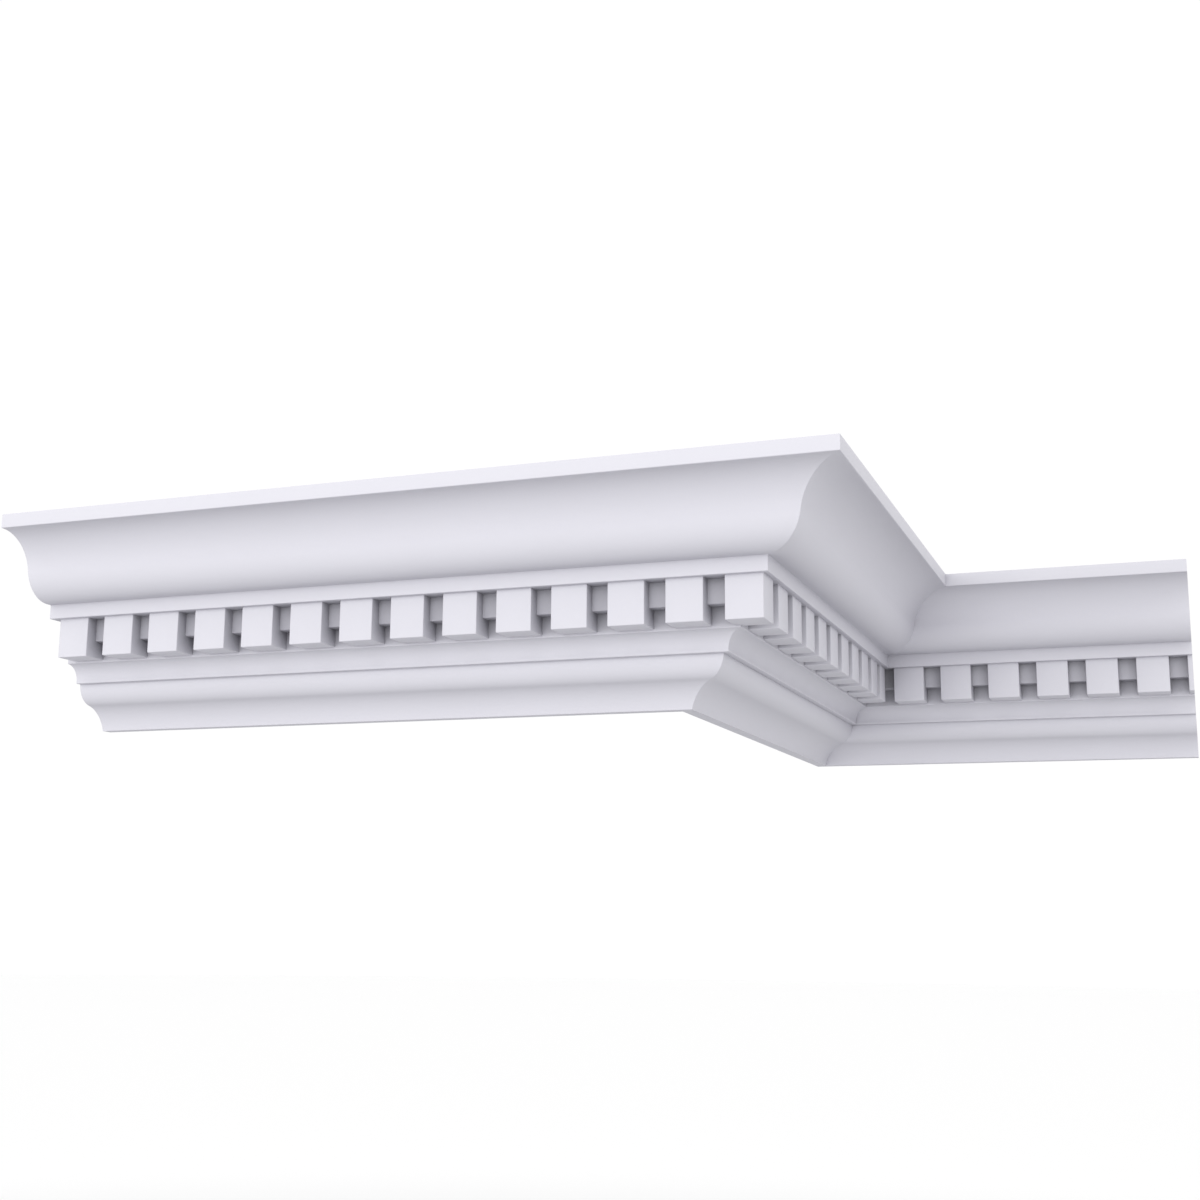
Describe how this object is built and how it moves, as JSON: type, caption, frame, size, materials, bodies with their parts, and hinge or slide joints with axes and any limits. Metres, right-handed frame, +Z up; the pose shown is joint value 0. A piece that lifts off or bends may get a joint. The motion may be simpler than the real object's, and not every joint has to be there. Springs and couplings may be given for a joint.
{
  "type": "dentil cornice moulding",
  "caption": "White dentil cornice for the wall and ceiling angle, in mitred lengths that turn an outside corner and an inside corner.",
  "frame": {"origin": "middle of the left length's flat wall face, on the plane of the front wall", "axes": "+X along the front wall towards the outside corner, +Y into the front wall, +Z up to the ceiling"},
  "size_m": [0.837, 0.5857, 0.15],
  "materials": {
    "painted_foam": "smooth white factory coat on moulded rigid polyurethane foam, satin to matt"
  },
  "bodies": {
    "root": {"left_length": "painted_foam", "return_length": "painted_foam", "right_length": "painted_foam"}
  },
  "joints": []
}
